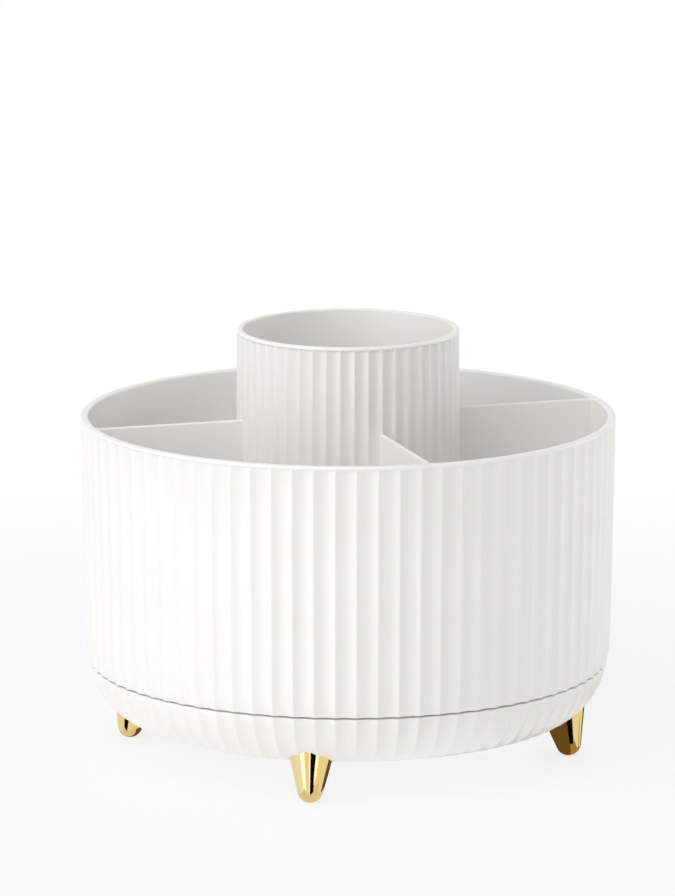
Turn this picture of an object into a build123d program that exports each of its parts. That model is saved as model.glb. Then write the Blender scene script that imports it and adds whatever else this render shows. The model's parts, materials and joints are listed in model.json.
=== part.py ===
"""Rotating organizer: a fluted tub with a brush cup, turning on a footed dish.

Frame: millimetres, +Z up. The origin is on the table, under the centre of the tub.
The four dividers lie on the X and Y axes, in line with the deepest lines of flutes.
"""

import os
from math import atan2, cos, pi, radians, sin, tan

from build123d import *

os.makedirs("parts", exist_ok=True)

# Outer form shared by the tub and the dish
rim_radius = 105.0  # to the arrises of the flutes
rim_height = 134.6
wall_draft = 0.86  # degrees that the wall leans outwards
curl_top = 54.0  # height at which the wall starts to turn in
curl_reach = 30.0  # how far the wall turns in on its way to the underside
curl_power = 2.8  # exponent of the superellipse that the turn follows
tub_curl_steps = 4  # sections of the turned-in stretch above the seam
dish_curl_steps = 8  # and below it
underside_height = 14.2  # clear height under the dish
flute_count = 80
flute_depth = 1.05  # at the rim, and less where the wall turns in
flute_runout = 1.0  # height over which a flute fades into the rim
rim_band = 1.2  # height of the plain band above the flutes
rim_round = 0.9

# Seam between the tub and the dish
seam_height = 36.05  # top edge of the dish
seam_gap = 0.75
lip_thickness = 1.6
lip_rise = 2.2
lip_root = 3.0
lip_clearance = 0.5

# Tub
tub_wall = 3.2
skirt_height = 2.8  # from the tub's lower edge to the floor's underside
tub_floor = 2.6
tub_corner = 6.0
tub_rib_count = 8
tub_rib_thickness = 1.6
tub_rib_drop = 1.6
tub_rib_overlap = 1.0  # how far the ribs run into the ring pad
divider_count = 4
divider_thickness = 2.0  # at the rim
divider_draft = 0.3  # degrees on each side
divider_round = 0.8

# Brush cup
cup_rim_radius = 43.5  # to the arrises
cup_rim_height = 168.6
cup_draft = 0.8  # degrees that the wall spreads downwards
cup_wall = 2.4
cup_floor = 2.4
cup_corner = 4.0
cup_flute_count = 50
cup_flute_depth = 0.95
cup_rim_round = 0.7
bolt_head_room = 1.0  # free height over the pivot bolt's head, under the cup

# Dish
dish_wall = 3.0
dish_rib_count = 8
dish_rib_thickness = 1.6
dish_rib_height = 7.0

# Turntable bearing
ball_diameter = 5.0
ball_count = 24
ball_circle_radius = 60.0
ball_clearance = 0.05
race_thickness = 3.0
race_spacing = 2.0  # between the faces of the two races
race_inner_flange = 10.0  # from the ball circle inwards
race_outer_flange = 6.0  # from the ball circle outwards
race_pad = 2.6  # height of the tub's ring pad above the upper race
race_rib_width = 6.0
race_outer_rib_width = 2.6
cage_thickness = 1.4
cage_half_width = 4.0
cage_clearance = 0.1  # between a ball and its hole

# Pivot
bolt_diameter = 8.0
bolt_head_diameter = 18.0
bolt_head_height = 2.4
bolt_neck_width = 9.0
thread_diameter = 5.0
thread_past_nut = 1.0
thread_chamfer = 0.5
pivot_clearance = 0.05
pivot_end_play = 0.1
hub_radius = 10.0
hub_drop = 3.3
bush_wall = 2.0
bush_flange_radius = 9.0
bush_flange_thickness = 1.6
washer_diameter = 15.0
washer_thickness = 1.2
nut_across_flats = 8.0
nut_height = 4.7
boss_wall = 3.0
recess_clearance = 1.0
cap_thickness = 2.0
cap_lip_depth = 1.5
cap_lip_wall = 1.2
cap_bolt_gap = 1.2

# Screws
screw_diameter = 2.8
screw_clearance = 0.05
slot_width = 0.8
slot_depth = 0.9
counter_sink = 90.0  # degrees across a countersunk head
race_screw_head = 5.2
race_screw_length = 7.0
race_screw_count = 4
race_screw_inset = 3.5  # from the races' inner edge
cup_screw_head = 5.6
cup_screw_head_height = 1.8
cup_screw_length = 6.6
cup_screw_count = 4
cup_screw_circle = 31.0
cup_boss_radius = 3.6
foot_screw_head = 6.0
foot_screw_head_height = 2.0
foot_screw_length = 13.0
foot_screw_inset = 2.6  # from the middle of the foot's tip in to its screw

# Feet
foot_names = ("foot_front", "foot_right", "foot_back", "foot_left")
foot_first_angle = -117.0  # degrees from +X to the front foot
foot_inset = 16.0  # from the rim's radius in to the middle of the foot's tip
foot_flare = 14.8  # degrees from a foot's axis to its side
foot_splay = 10.0  # degrees that a foot's axis leans outwards on its way down
foot_tip_round = 4.6
foot_tip_middle = 0.3  # radius at the tip that the rounding leaves
foot_tip_trim = 0.1  # what is ground off level, so that the tip stands on a small flat
foot_seat_depth = 0.95  # below the flutes' depth at the rim
foot_boss_radius = 6.2
foot_boss_height = 3.6  # above the inside of the dish's floor

# Places along the axis that follow from the sizes above
dish_floor_top = underside_height + dish_wall
tub_bottom = seam_height + seam_gap
tub_floor_bottom = tub_bottom + skirt_height
tub_floor_top = tub_floor_bottom + tub_floor
cup_floor_bottom = tub_floor_top + bolt_head_height + bolt_head_room
cup_floor_top = cup_floor_bottom + cup_floor
upper_race_top = tub_floor_bottom - race_pad
upper_race_bottom = upper_race_top - race_thickness
lower_race_top = upper_race_bottom - race_spacing
lower_race_bottom = lower_race_top - race_thickness
ball_height = (upper_race_bottom + lower_race_top) / 2
hub_bottom = tub_floor_bottom - hub_drop
bush_top = hub_bottom - pivot_end_play
boss_top = bush_top - bush_flange_thickness
cap_top = underside_height + cap_thickness
bolt_end = cap_top + cap_bolt_gap
nut_bottom = bolt_end + thread_past_nut
nut_top = nut_bottom + nut_height
washer_top = nut_top + washer_thickness
web_bottom = washer_top + pivot_end_play
foot_boss_top = dish_floor_top + foot_boss_height

# Radii and angles that follow from the sizes above
race_inner_radius = ball_circle_radius - race_inner_flange
race_outer_radius = ball_circle_radius + race_outer_flange
race_screw_circle = race_inner_radius + race_screw_inset
bush_bore_radius = bolt_diameter / 2 + pivot_clearance
bush_outer_radius = bush_bore_radius + bush_wall
recess_radius = washer_diameter / 2 + recess_clearance
boss_radius = recess_radius + boss_wall
screw_hole_radius = screw_diameter / 2 + screw_clearance
foot_tip_offset = rim_radius - foot_inset
foot_screw_circle = foot_tip_offset - foot_screw_inset
foot_end_radius = foot_tip_middle + foot_tip_round / tan(radians(45 + foot_flare / 2))
foot_tip_fall = foot_tip_round * (1 - cos(radians(foot_splay))) + foot_tip_middle * sin(
    radians(foot_splay)
)
foot_pitch = 360 / len(foot_names)
foot_angles = [foot_first_angle + foot_pitch * index for index in range(len(foot_names))]

# How far a cutting form stands past the edge that it cuts
past_edge = 5.0


def wall_radius(height):
    """Radius to the arrises on the straight, drafted stretch of the wall."""
    return rim_radius - (rim_height - height) * tan(radians(wall_draft))


def curl_point(angle, inset=0.0):
    """Radius and height at an angle along the turned-in stretch, inset from the outside."""
    fall = (curl_top - underside_height - inset) * sin(angle) ** (2 / curl_power)
    height = curl_top - fall
    across = max(cos(angle), 0.0) ** (2 / curl_power)
    return wall_radius(height) - inset - (curl_reach - inset) * (1 - across), height


def curl_angle(height, inset=0.0):
    """Angle along the turned-in stretch at which it passes a height."""
    share = (curl_top - height) / (curl_top - underside_height - inset)
    across = (1 - share**curl_power) ** (1 / curl_power)
    return atan2(share ** (curl_power / 2), across ** (curl_power / 2))


def curl_points(first, last, steps, inset=0.0):
    """Evenly turned points between two angles of the turned-in stretch."""
    return [curl_point(first + (last - first) * step / steps, inset) for step in range(steps + 1)]


def fluted_outline(radius, height, depth, count):
    """Level outline of concave flutes between sharp arrises, or a circle at depth 0."""
    half_pitch = 180 / count
    with BuildSketch(Plane.XY.offset(height)) as outline:
        with BuildLine():
            first = Vector(radius, 0).rotate(Axis.Z, -half_pitch)
            last = Vector(radius, 0).rotate(Axis.Z, half_pitch)
            flute = ThreePointArc(first, (radius - depth, 0), last, mode=Mode.PRIVATE)
            with PolarLocations(0, count):
                add(flute)
        make_face()
    return outline.sketch.face()


def wall_outline(radius, height):
    """Outline of the tub or dish. One round cutter leaves shallower flutes on a smaller ring."""
    return fluted_outline(radius, height, flute_depth * (radius / rim_radius) ** 2, flute_count)


def rim_profile(radius, height, rounding):
    """Half section of the plain rounded band that closes a fluted wall's upper end."""
    with BuildSketch(Plane.XZ) as profile:
        with BuildLine():
            Polyline(
                (0, height - rim_band),
                (radius, height - rim_band),
                (radius, height),
                (0, height),
                close=True,
            )
        make_face()
        fillet(vertices().sort_by_distance((radius, height))[0], rounding)
    return profile.sketch


def hollow_profile(floor_radius, floor_height, mouth_radius, mouth_height, corner, rounding):
    """Half section of a round hollow with a rounded floor corner and a rounded mouth."""
    with BuildSketch(Plane.XZ) as profile:
        with BuildLine():
            wall = Line((floor_radius, floor_height), (mouth_radius, mouth_height - rounding))
            mouth = TangentArc(
                wall @ 1, (mouth_radius + rounding, mouth_height), tangent=wall % 1
            )
            Polyline(
                mouth @ 1,
                (mouth_radius + rounding, mouth_height + past_edge),
                (0, mouth_height + past_edge),
                (0, floor_height),
                wall @ 0,
            )
        make_face()
        fillet(vertices().sort_by_distance((floor_radius, floor_height))[0], corner)
    return profile.sketch


def ring_profile(inner_radius, outer_radius, bottom, top):
    """Half section of a plain ring or, with an inner radius of 0, of a disc."""
    with BuildSketch(Plane.XZ) as profile:
        with Locations((inner_radius, bottom)):
            Rectangle(outer_radius - inner_radius, top - bottom, align=(Align.MIN, Align.MIN))
    return profile.sketch


def cross_slot(height, span):
    """Cut a cross slot into the top of the screw that is being made."""
    for length, width in ((span, slot_width), (slot_width, span)):
        with Locations((0, 0, height)):
            Box(
                length,
                width,
                slot_depth,
                align=(Align.CENTER, Align.CENTER, Align.MAX),
                mode=Mode.SUBTRACT,
            )


def pan_screw(head_diameter, head_height, length):
    """Screw with a rounded head above the origin and its shank below."""
    with BuildPart() as screw:
        Cylinder(head_diameter / 2, head_height, align=(Align.CENTER, Align.CENTER, Align.MIN))
        fillet(screw.edges().sort_by(Axis.Z)[-1], head_height / 2)
        Cylinder(screw_diameter / 2, length, align=(Align.CENTER, Align.CENTER, Align.MAX))
        cross_slot(head_height, head_diameter / 2)
    return screw.part


def flat_screw(head_diameter, length):
    """Countersunk screw with its head's face at the origin and its shank below."""
    with BuildPart() as screw:
        Cone(
            screw_diameter / 2,
            head_diameter / 2,
            (head_diameter - screw_diameter) / 2 / tan(radians(counter_sink / 2)),
            align=(Align.CENTER, Align.CENTER, Align.MAX),
        )
        Cylinder(screw_diameter / 2, length, align=(Align.CENTER, Align.CENTER, Align.MAX))
        cross_slot(0, head_diameter / 2)
    return screw.part


def facing_down(height):
    """Plane at a height whose normal points down."""
    return Plane(origin=(0, 0, height), x_dir=(1, 0, 0), z_dir=(0, 0, -1))


def between_dividers(radius, count):
    """Places on a circle, the first half a pitch past +X."""
    return PolarLocations(radius, count, start_angle=180 / count)


# Outer form of the brush cup, which also shapes the dividers' inner ends
cup_base_radius = cup_rim_radius + (cup_rim_height - tub_floor_top) * tan(radians(cup_draft))
cup_flutes_top = cup_rim_height - rim_band
with BuildPart() as cup_form:
    cup_sections = (
        fluted_outline(cup_base_radius, tub_floor_top, cup_flute_depth, cup_flute_count),
        fluted_outline(
            cup_rim_radius, cup_flutes_top - flute_runout, cup_flute_depth, cup_flute_count
        ),
        fluted_outline(cup_rim_radius, cup_flutes_top, 0, cup_flute_count),
    )
    loft(cup_sections, ruled=True)
    revolve(rim_profile(cup_rim_radius, cup_rim_height, cup_rim_round))

# One divider, as a wall from the axis outwards with a rounded upper edge
divider_foot = (
    divider_thickness / 2 + (rim_height - tub_floor_top) * tan(radians(divider_draft))
)
with BuildPart() as divider_form:
    with BuildSketch(Plane.YZ):
        with BuildLine():
            Polyline(
                (-divider_foot, tub_floor_top),
                (divider_foot, tub_floor_top),
                (divider_thickness / 2, rim_height),
                (-divider_thickness / 2, rim_height),
                close=True,
            )
        make_face()
        fillet(vertices().group_by(Axis.Y)[-1], divider_round)
    extrude(amount=rim_radius)

# Everything that is open inside the tub: the four compartments and the cup's place
tub_mouth_radius = rim_radius - tub_wall
tub_floor_radius = wall_radius(tub_floor_top) - tub_wall
with BuildPart() as tub_hollow:
    revolve(
        hollow_profile(
            tub_floor_radius, tub_floor_top, tub_mouth_radius, rim_height, tub_corner, rim_round
        )
    )
    with PolarLocations(0, divider_count):
        add(divider_form.part, mode=Mode.SUBTRACT)
    add(cup_form.part)

# Fluted tub with its dividers, floor, skirt, hub and race pad
skirt_radius = curl_point(curl_angle(tub_bottom))[0] - tub_wall
flutes_top = rim_height - rim_band
with BuildPart() as tub:
    lower_points = curl_points(curl_angle(tub_bottom), 0, tub_curl_steps)
    loft([wall_outline(radius, height) for radius, height in lower_points])
    upper_sections = (
        wall_outline(wall_radius(curl_top), curl_top),
        wall_outline(wall_radius(flutes_top - flute_runout), flutes_top - flute_runout),
        fluted_outline(rim_radius, flutes_top, 0, flute_count),
    )
    loft(upper_sections, ruled=True)
    revolve(rim_profile(rim_radius, rim_height, rim_round))
    add(tub_hollow.part, mode=Mode.SUBTRACT)
    revolve(ring_profile(0, skirt_radius, tub_bottom, tub_floor_bottom), mode=Mode.SUBTRACT)
    revolve(
        ring_profile(race_inner_radius, race_outer_radius, upper_race_top, tub_floor_bottom)
    )
    revolve(ring_profile(0, hub_radius, hub_bottom, tub_floor_bottom))
    with BuildSketch(facing_down(tub_floor_bottom)):
        with between_dividers(0, tub_rib_count):
            Rectangle(
                race_inner_radius + tub_rib_overlap,
                tub_rib_thickness,
                align=(Align.MIN, Align.CENTER),
            )
    extrude(amount=tub_rib_drop)
    with BuildSketch(facing_down(tub_floor_top)):
        Rectangle(
            bolt_neck_width + 2 * pivot_clearance, bolt_neck_width + 2 * pivot_clearance
        )
    extrude(amount=tub_floor, mode=Mode.SUBTRACT)
    with Locations(facing_down(tub_floor_bottom)):
        Cylinder(
            bush_bore_radius,
            hub_drop,
            align=(Align.CENTER, Align.CENTER, Align.MIN),
            mode=Mode.SUBTRACT,
        )
        with between_dividers(cup_screw_circle, cup_screw_count):
            Cylinder(
                screw_hole_radius,
                tub_floor,
                align=(Align.CENTER, Align.CENTER, Align.MAX),
                mode=Mode.SUBTRACT,
            )
    with Locations(facing_down(upper_race_bottom)):
        with between_dividers(race_screw_circle, race_screw_count):
            Cylinder(
                screw_hole_radius,
                race_screw_length + screw_clearance,
                align=(Align.CENTER, Align.CENTER, Align.MAX),
                mode=Mode.SUBTRACT,
            )
tub.part.label = "tub"
export_step(tub.part, "parts/tub.step")

# Brush cup: a fluted wall on a raised floor, standing on the tub's floor
cup_mouth_radius = cup_rim_radius - cup_wall
cup_inner_base_radius = cup_base_radius - cup_wall
with BuildPart() as brush_cup:
    add(cup_form.part)
    revolve(
        hollow_profile(
            cup_inner_base_radius,
            cup_floor_top,
            cup_mouth_radius,
            cup_rim_height,
            cup_corner,
            cup_rim_round,
        ),
        mode=Mode.SUBTRACT,
    )
    revolve(
        ring_profile(0, cup_inner_base_radius, tub_floor_top, cup_floor_bottom),
        mode=Mode.SUBTRACT,
    )
    with Locations((0, 0, tub_floor_top)):
        with between_dividers(cup_screw_circle, cup_screw_count):
            Cylinder(
                cup_boss_radius,
                cup_floor_bottom - tub_floor_top,
                align=(Align.CENTER, Align.CENTER, Align.MIN),
            )
            Cylinder(
                screw_hole_radius,
                cup_screw_length + screw_clearance - tub_floor,
                align=(Align.CENTER, Align.CENTER, Align.MIN),
                mode=Mode.SUBTRACT,
            )
brush_cup.part.label = "brush_cup"
export_step(brush_cup.part, "parts/brush_cup.step")

# Screws that hold the cup, driven up from under the tub's floor
cup_screw = pan_screw(cup_screw_head, cup_screw_head_height, cup_screw_length)
with BuildPart(facing_down(tub_floor_bottom)) as cup_screws:
    with between_dividers(cup_screw_circle, cup_screw_count):
        add(cup_screw)
cup_screws.part.label = "cup_screws"
export_step(cup_screws.part, "parts/cup_screws.step")


def grooved_race(bottom):
    """Half section of a race with its ball groove, standing on a height."""
    with BuildSketch(Plane.XZ) as profile:
        add(ring_profile(race_inner_radius, race_outer_radius, bottom, bottom + race_thickness))
        with Locations((ball_circle_radius, ball_height)):
            Circle(ball_diameter / 2 + ball_clearance, mode=Mode.SUBTRACT)
    return profile.sketch


# Upper race, screwed to the tub's ring pad
with BuildPart() as upper_race:
    revolve(grooved_race(upper_race_bottom))
    with Locations(facing_down(upper_race_bottom)):
        with between_dividers(race_screw_circle, race_screw_count):
            CounterSinkHole(
                screw_hole_radius,
                race_screw_head / 2 + screw_clearance,
                depth=race_thickness,
                counter_sink_angle=counter_sink,
            )
upper_race.part.label = "upper_race"
export_step(upper_race.part, "parts/upper_race.step")

# Lower race, screwed to the dish's ring rib
with BuildPart() as lower_race:
    revolve(grooved_race(lower_race_bottom))
    with Locations((0, 0, lower_race_top)):
        with between_dividers(race_screw_circle, race_screw_count):
            CounterSinkHole(
                screw_hole_radius,
                race_screw_head / 2 + screw_clearance,
                depth=race_thickness,
                counter_sink_angle=counter_sink,
            )
lower_race.part.label = "lower_race"
export_step(lower_race.part, "parts/lower_race.step")

# Screws of the two races
race_screw = flat_screw(race_screw_head, race_screw_length)
with BuildPart(facing_down(upper_race_bottom)) as upper_race_screws:
    with between_dividers(race_screw_circle, race_screw_count):
        add(race_screw)
upper_race_screws.part.label = "upper_race_screws"
export_step(upper_race_screws.part, "parts/upper_race_screws.step")

with BuildPart(Plane.XY.offset(lower_race_top)) as lower_race_screws:
    with between_dividers(race_screw_circle, race_screw_count):
        add(race_screw)
lower_race_screws.part.label = "lower_race_screws"
export_step(lower_race_screws.part, "parts/lower_race_screws.step")

# Balls between the races
with BuildPart(Plane.XY.offset(ball_height)) as bearing_balls:
    with PolarLocations(ball_circle_radius, ball_count):
        Sphere(ball_diameter / 2)
bearing_balls.part.label = "bearing_balls"
export_step(bearing_balls.part, "parts/bearing_balls.step")

# Ring that keeps the balls apart
with BuildPart() as ball_cage:
    revolve(
        ring_profile(
            ball_circle_radius - cage_half_width,
            ball_circle_radius + cage_half_width,
            ball_height - cage_thickness / 2,
            ball_height + cage_thickness / 2,
        )
    )
    with Locations((0, 0, ball_height)):
        with PolarLocations(ball_circle_radius, ball_count):
            Cylinder(ball_diameter / 2 + cage_clearance, cage_thickness, mode=Mode.SUBTRACT)
ball_cage.part.label = "ball_cage"
export_step(ball_cage.part, "parts/ball_cage.step")

# Inner side of the pockets that the feet sit in, as a solid round form
pocket_inset = flute_depth + foot_seat_depth
with BuildPart() as seat_form:
    with BuildSketch(Plane.XZ):
        with BuildLine():
            seat_curve = Spline(
                *curl_points(
                    curl_angle(seam_height, pocket_inset), pi / 2, dish_curl_steps, pocket_inset
                )
            )
            Polyline(
                seat_curve @ 1,
                (0, underside_height + pocket_inset),
                (0, seam_height),
                seat_curve @ 0,
            )
        make_face()
    revolve()

# Foot, made on +X: a round-tipped cone on a leaning axis, cut level below and to its pocket above
foot_length = seam_height - past_edge
foot_plane = Plane(
    origin=(foot_tip_offset, 0, foot_tip_fall - foot_tip_trim),
    x_dir=(cos(radians(foot_splay)), 0, sin(radians(foot_splay))),
    z_dir=(0, -1, 0),
)
with BuildPart() as foot_form:
    with BuildSketch(foot_plane):
        with BuildLine():
            Polyline(
                (0, 0),
                (foot_end_radius, 0),
                (foot_end_radius + foot_length * tan(radians(foot_flare)), foot_length),
                (0, foot_length),
                close=True,
            )
        make_face()
        fillet(vertices().sort_by_distance((foot_end_radius, 0))[0], foot_tip_round)
    revolve(axis=Axis(foot_plane.origin, foot_plane.y_dir))
    split(bisect_by=Plane.XY)
    add(seat_form.part, mode=Mode.SUBTRACT)
    with Locations((foot_screw_circle, 0, foot_boss_top)):
        Cylinder(
            screw_hole_radius,
            foot_screw_length + screw_clearance,
            align=(Align.CENTER, Align.CENTER, Align.MAX),
            mode=Mode.SUBTRACT,
        )

# The four feet, each turned to its place
feet = []
for foot_name, foot_angle in zip(foot_names, foot_angles):
    with BuildPart() as foot:
        add(foot_form.part, rotation=(0, 0, foot_angle))
    foot.part.label = foot_name
    export_step(foot.part, f"parts/{foot_name}.step")
    feet.append(foot)

# Bosses inside the dish that the feet are screwed to
with BuildPart() as foot_bosses:
    with Locations((0, 0, underside_height)):
        with PolarLocations(foot_screw_circle, len(foot_names), start_angle=foot_first_angle):
            Cylinder(
                foot_boss_radius,
                foot_boss_top - underside_height,
                align=(Align.CENTER, Align.CENTER, Align.MIN),
            )
    add(seat_form.part, mode=Mode.INTERSECT)

# Fluted dish with its lip, race ribs, pivot boss, foot bosses and foot pockets
dish_rim_radius = curl_point(curl_angle(seam_height))[0]
dish_wall_middle = dish_rim_radius - (flute_depth + dish_wall) / 2
lip_radius = skirt_radius - lip_clearance
with BuildPart() as base_dish:
    dish_points = curl_points(curl_angle(seam_height), pi / 2, dish_curl_steps)
    loft([wall_outline(radius, height) for radius, height in dish_points])
    with BuildSketch(Plane.XZ):
        with BuildLine():
            inner_curve = Spline(
                *curl_points(
                    curl_angle(seam_height, dish_wall), pi / 2, dish_curl_steps, dish_wall
                )
            )
            Polyline(
                inner_curve @ 1,
                (0, dish_floor_top),
                (0, seam_height + past_edge),
                inner_curve @ 0 + Vector(0, past_edge),
                inner_curve @ 0,
            )
        make_face()
    revolve(mode=Mode.SUBTRACT)
    revolve(
        ring_profile(
            lip_radius - lip_thickness,
            dish_wall_middle,
            seam_height - lip_root,
            seam_height,
        )
    )
    revolve(
        ring_profile(lip_radius - lip_thickness, lip_radius, seam_height, seam_height + lip_rise)
    )
    revolve(
        ring_profile(
            race_inner_radius, race_inner_radius + race_rib_width, dish_floor_top, lower_race_bottom
        )
    )
    revolve(
        ring_profile(
            race_outer_radius - race_outer_rib_width,
            race_outer_radius,
            dish_floor_top,
            lower_race_bottom,
        )
    )
    revolve(ring_profile(0, boss_radius, dish_floor_top, boss_top))
    with BuildSketch(Plane.XY.offset(dish_floor_top)):
        with PolarLocations(recess_radius + boss_wall / 2, dish_rib_count):
            Rectangle(
                race_inner_radius + race_rib_width / 2 - recess_radius - boss_wall / 2,
                dish_rib_thickness,
                align=(Align.MIN, Align.CENTER),
            )
    extrude(amount=dish_rib_height)
    revolve(ring_profile(0, recess_radius, underside_height, web_bottom), mode=Mode.SUBTRACT)
    revolve(ring_profile(0, bush_outer_radius, web_bottom, boss_top), mode=Mode.SUBTRACT)
    add(foot_bosses.part)
    for foot in feet:
        add(foot.part, mode=Mode.SUBTRACT)
    with Locations((0, 0, foot_boss_top)):
        with PolarLocations(foot_screw_circle, len(foot_names), start_angle=foot_first_angle):
            Cylinder(
                screw_hole_radius,
                foot_boss_top - underside_height,
                align=(Align.CENTER, Align.CENTER, Align.MAX),
                mode=Mode.SUBTRACT,
            )
    with Locations((0, 0, lower_race_top)):
        with between_dividers(race_screw_circle, race_screw_count):
            Cylinder(
                screw_hole_radius,
                race_screw_length + screw_clearance,
                align=(Align.CENTER, Align.CENTER, Align.MAX),
                mode=Mode.SUBTRACT,
            )
base_dish.part.label = "base_dish"
export_step(base_dish.part, "parts/base_dish.step")

# Screws that hold the feet, driven down inside the dish
foot_screw = pan_screw(foot_screw_head, foot_screw_head_height, foot_screw_length)
with BuildPart(Plane.XY.offset(foot_boss_top)) as foot_screws:
    with PolarLocations(foot_screw_circle, len(foot_names), start_angle=foot_first_angle):
        add(foot_screw)
foot_screws.part.label = "foot_screws"
export_step(foot_screws.part, "parts/foot_screws.step")

# Flanged bush in the dish's boss
with BuildPart() as pivot_bush:
    revolve(ring_profile(bush_bore_radius, bush_outer_radius, web_bottom, boss_top))
    revolve(ring_profile(bush_bore_radius, bush_flange_radius, boss_top, bush_top))
pivot_bush.part.label = "pivot_bush"
export_step(pivot_bush.part, "parts/pivot_bush.step")

# Pivot bolt: head on the tub's floor, square neck, round shank and threaded end
with BuildPart() as pivot_bolt:
    with Locations((0, 0, tub_floor_top)):
        Cylinder(
            bolt_head_diameter / 2,
            bolt_head_height,
            align=(Align.CENTER, Align.CENTER, Align.MIN),
        )
    fillet(pivot_bolt.edges().sort_by(Axis.Z)[-1], bolt_head_height / 2)
    with BuildSketch(facing_down(tub_floor_top)):
        Rectangle(bolt_neck_width, bolt_neck_width)
    extrude(amount=tub_floor)
    revolve(ring_profile(0, bolt_diameter / 2, washer_top, tub_floor_bottom))
    revolve(ring_profile(0, thread_diameter / 2, bolt_end, washer_top))
    chamfer(pivot_bolt.edges().sort_by(Axis.Z)[0], thread_chamfer)
pivot_bolt.part.label = "pivot_bolt"
export_step(pivot_bolt.part, "parts/pivot_bolt.step")

# Washer and nut on the bolt's threaded end
with BuildPart() as pivot_washer:
    revolve(ring_profile(thread_diameter / 2, washer_diameter / 2, nut_top, washer_top))
pivot_washer.part.label = "pivot_washer"
export_step(pivot_washer.part, "parts/pivot_washer.step")

with BuildPart() as pivot_nut:
    with BuildSketch(Plane.XY.offset(nut_bottom)):
        RegularPolygon(nut_across_flats / 2, 6, major_radius=False)
        Circle(thread_diameter / 2, mode=Mode.SUBTRACT)
    extrude(amount=nut_height)
pivot_nut.part.label = "pivot_nut"
export_step(pivot_nut.part, "parts/pivot_nut.step")

# Plug that closes the boss from below, with a lip that grips the recess
with BuildPart() as pivot_cap:
    revolve(ring_profile(0, recess_radius, underside_height, cap_top))
    revolve(
        ring_profile(recess_radius - cap_lip_wall, recess_radius, cap_top, cap_top + cap_lip_depth)
    )
pivot_cap.part.label = "pivot_cap"
export_step(pivot_cap.part, "parts/pivot_cap.step")
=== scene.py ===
# %% [markdown]
# A round organizer of white moulded plastic turns on a shallow dish with four gold feet.
# Everything that turns, fastens or carries is already modelled in the frame, at its real size.
# All of it could be modelled again here, but only what shows gains from a finer mesh. So this
# lesson remakes the tub, the cup, the dish and the feet, gives every part its finish, and
# lights it.

# %% Load the frame
import json
from math import atan2, cos, hypot, pi, radians, sin, tan

import bmesh
import bpy
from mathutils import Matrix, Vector


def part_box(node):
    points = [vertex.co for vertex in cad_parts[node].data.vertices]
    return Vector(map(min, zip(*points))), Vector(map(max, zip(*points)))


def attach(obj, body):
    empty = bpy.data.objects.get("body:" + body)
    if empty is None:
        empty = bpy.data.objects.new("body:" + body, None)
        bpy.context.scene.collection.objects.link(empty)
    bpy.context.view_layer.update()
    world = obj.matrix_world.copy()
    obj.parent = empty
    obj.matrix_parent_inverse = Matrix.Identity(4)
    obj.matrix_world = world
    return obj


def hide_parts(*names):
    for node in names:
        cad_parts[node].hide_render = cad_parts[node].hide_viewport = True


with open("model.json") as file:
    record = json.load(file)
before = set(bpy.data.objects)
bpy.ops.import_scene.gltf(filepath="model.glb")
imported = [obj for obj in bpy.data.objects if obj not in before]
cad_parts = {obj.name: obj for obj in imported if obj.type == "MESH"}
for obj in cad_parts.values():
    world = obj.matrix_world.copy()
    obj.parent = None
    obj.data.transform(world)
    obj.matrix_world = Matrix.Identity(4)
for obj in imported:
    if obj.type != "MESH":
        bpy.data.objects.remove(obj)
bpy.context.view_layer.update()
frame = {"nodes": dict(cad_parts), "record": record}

MM = 0.001

# %% [markdown]
# The camera comes first, because each piece is judged through it.
# A long lens stands well back from the object, so its upright lines stay nearly parallel, as in
# a catalogue picture. It could be placed by eye, but a fit to the rim, the seam and the feet
# gives its place in real lengths: how far from the axis, how high, and how far it tilts down.

# %% Place the camera
camera_azimuth = radians(-17.5)
camera_distance = 2.2508
camera_height = 0.5805
camera_tilt = radians(11.55)
camera_side_step = 0.00412  # to its own left, which puts the object right of the middle
lens_length = 234.9
sensor_length = 36.0

camera_data = bpy.data.cameras.new("catalogue_camera")
camera_data.lens = lens_length
camera_data.sensor_width = sensor_length
camera_data.clip_end = 50.0
camera = bpy.data.objects.new("catalogue_camera", camera_data)
bpy.context.scene.collection.objects.link(camera)
camera.location = (
    sin(camera_azimuth) * camera_distance - cos(camera_azimuth) * camera_side_step,
    -cos(camera_azimuth) * camera_distance - sin(camera_azimuth) * camera_side_step,
    camera_height,
)
camera.rotation_euler = (pi / 2 - camera_tilt, 0, camera_azimuth)
bpy.context.scene.camera = camera
print("the camera stands", round(camera.location.length, 3), "m from the foot of the axis")

# %% [markdown]
# The outer form is shared by the tub and the dish, so its values are written once.
# The rim's radius and the heights come from the frame. The wall leans out by under a degree,
# which lets the moulding leave its mould, and turns in below along a superellipse, a curve
# that stays full before it rounds the corner. A plain circle arc would look flatter here.

# %% Sizes of the outer form
rim_radius = min(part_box("tub")[1].x, -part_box("tub")[0].x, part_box("tub")[1].y)
rim_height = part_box("tub")[1].z
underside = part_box("base_dish")[0].z
lip_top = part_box("base_dish")[1].z
hub_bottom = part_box("tub")[0].z
wall_draft = radians(0.86)
curl_top = 54.0 * MM
curl_reach = 30.0 * MM
curl_power = 2.8
flute_count = 80
flute_depth = 1.05 * MM  # at the rim, and less where the wall turns in
rim_band = 1.2 * MM
rim_round = 0.9 * MM
seam_bottom = 36.05 * MM
seam_top = 36.8 * MM
tub_wall = 3.2 * MM
dish_wall = 3.0 * MM
edge_round = 0.25 * MM  # what the mould maker leaves on an edge that is drawn sharp
edge_segments = 2
print("the rim is", round(rim_radius / MM, 2), "mm in radius, at", round(rim_height / MM, 1), "mm")

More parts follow.
